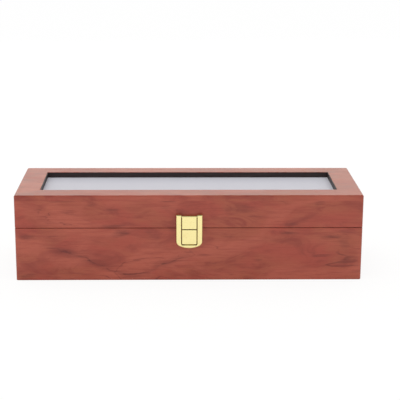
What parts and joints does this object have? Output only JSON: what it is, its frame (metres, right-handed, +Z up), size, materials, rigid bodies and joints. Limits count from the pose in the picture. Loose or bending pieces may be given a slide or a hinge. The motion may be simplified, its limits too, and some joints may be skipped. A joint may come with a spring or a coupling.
{
  "type": "watch box",
  "caption": "Long cherry wood watch box with a hinged glass-topped lid, a gold swing clasp and removable velvet pillows in one row of slots.",
  "frame": {"origin": "middle of the underside, on the surface that the box stands on", "axes": "+X to the right along the box, +Y away from the clasp towards the hinges, +Z up"},
  "size_m": [0.31, 0.1152, 0.0785],
  "materials": {
    "cherry_wood": "satin lacquered cherry veneer",
    "plywood": "plain",
    "base_felt": "felt",
    "velvet": "velvet on board",
    "pillow_velvet": "velvet",
    "pillow_foam": "open foam",
    "glass": "clear, polished",
    "black_edging": "satin",
    "gold": "polished gold plate"
  },
  "bodies": {
    "base": {"base_front_wall": "cherry_wood", "base_back_wall": "cherry_wood", "base_left_wall": "cherry_wood", "base_right_wall": "cherry_wood", "base_floor_panel": "plywood", "base_felt_pad": "base_felt", "base_floor_lining": "velvet", "base_front_lining": "velvet", "base_back_lining": "velvet", "base_left_lining": "velvet", "base_right_lining": "velvet", "divider_1": "velvet", "divider_2": "velvet", "divider_3": "velvet", "divider_4": "velvet", "divider_5": "velvet", "hinge_base_leaf_left": "gold", "hinge_base_leaf_right": "gold", "hinge_pin_left": "gold", "hinge_pin_right": "gold", "hinge_base_screws": "gold", "clasp_keeper": "gold"},
    "lid": {"lid_front_wall": "cherry_wood", "lid_back_wall": "cherry_wood", "lid_left_wall": "cherry_wood", "lid_right_wall": "cherry_wood", "lid_top_panel": "cherry_wood", "lid_front_lining": "velvet", "lid_back_lining": "velvet", "lid_left_lining": "velvet", "lid_right_lining": "velvet", "glass_retainer_front": "velvet", "glass_retainer_back": "velvet", "glass_retainer_left": "velvet", "glass_retainer_right": "velvet", "glass_pane": "glass", "window_edging": "black_edging", "hinge_lid_leaf_left": "gold", "hinge_lid_leaf_right": "gold", "hinge_lid_screws": "gold", "clasp_hinge_plate": "gold", "clasp_pin": "gold"},
    "clasp": {"clasp_frame": "gold"},
    "pillow_1": {"pillow_cover_1": "pillow_velvet", "pillow_core_1": "pillow_foam"},
    "pillow_2": {"pillow_cover_2": "pillow_velvet", "pillow_core_2": "pillow_foam"},
    "pillow_3": {"pillow_cover_3": "pillow_velvet", "pillow_core_3": "pillow_foam"},
    "pillow_4": {"pillow_cover_4": "pillow_velvet", "pillow_core_4": "pillow_foam"},
    "pillow_5": {"pillow_cover_5": "pillow_velvet", "pillow_core_5": "pillow_foam"},
    "pillow_6": {"pillow_cover_6": "pillow_velvet", "pillow_core_6": "pillow_foam"}
  },
  "joints": [
    {"name": "lid_hinge", "type": "hinge", "parent": "base", "child": "lid", "pos_m": [0, 0.0553, 0.04865], "axis": [-1, 0, 0], "range_deg": [0, 100]},
    {"name": "clasp_flip", "type": "hinge", "parent": "lid", "child": "clasp", "pos_m": [0, -0.0553, 0.0597], "axis": [-1, 0, 0], "range_deg": [0, 175]},
    {"name": "pillow_lift_1", "type": "slide", "parent": "base", "child": "pillow_1", "axis": [0, 0, 1], "range_m": [0, 0.022]},
    {"name": "pillow_lift_2", "type": "slide", "parent": "base", "child": "pillow_2", "axis": [0, 0, 1], "range_m": [0, 0.022]},
    {"name": "pillow_lift_3", "type": "slide", "parent": "base", "child": "pillow_3", "axis": [0, 0, 1], "range_m": [0, 0.022]},
    {"name": "pillow_lift_4", "type": "slide", "parent": "base", "child": "pillow_4", "axis": [0, 0, 1], "range_m": [0, 0.022]},
    {"name": "pillow_lift_5", "type": "slide", "parent": "base", "child": "pillow_5", "axis": [0, 0, 1], "range_m": [0, 0.022]},
    {"name": "pillow_lift_6", "type": "slide", "parent": "base", "child": "pillow_6", "axis": [0, 0, 1], "range_m": [0, 0.022]}
  ]
}
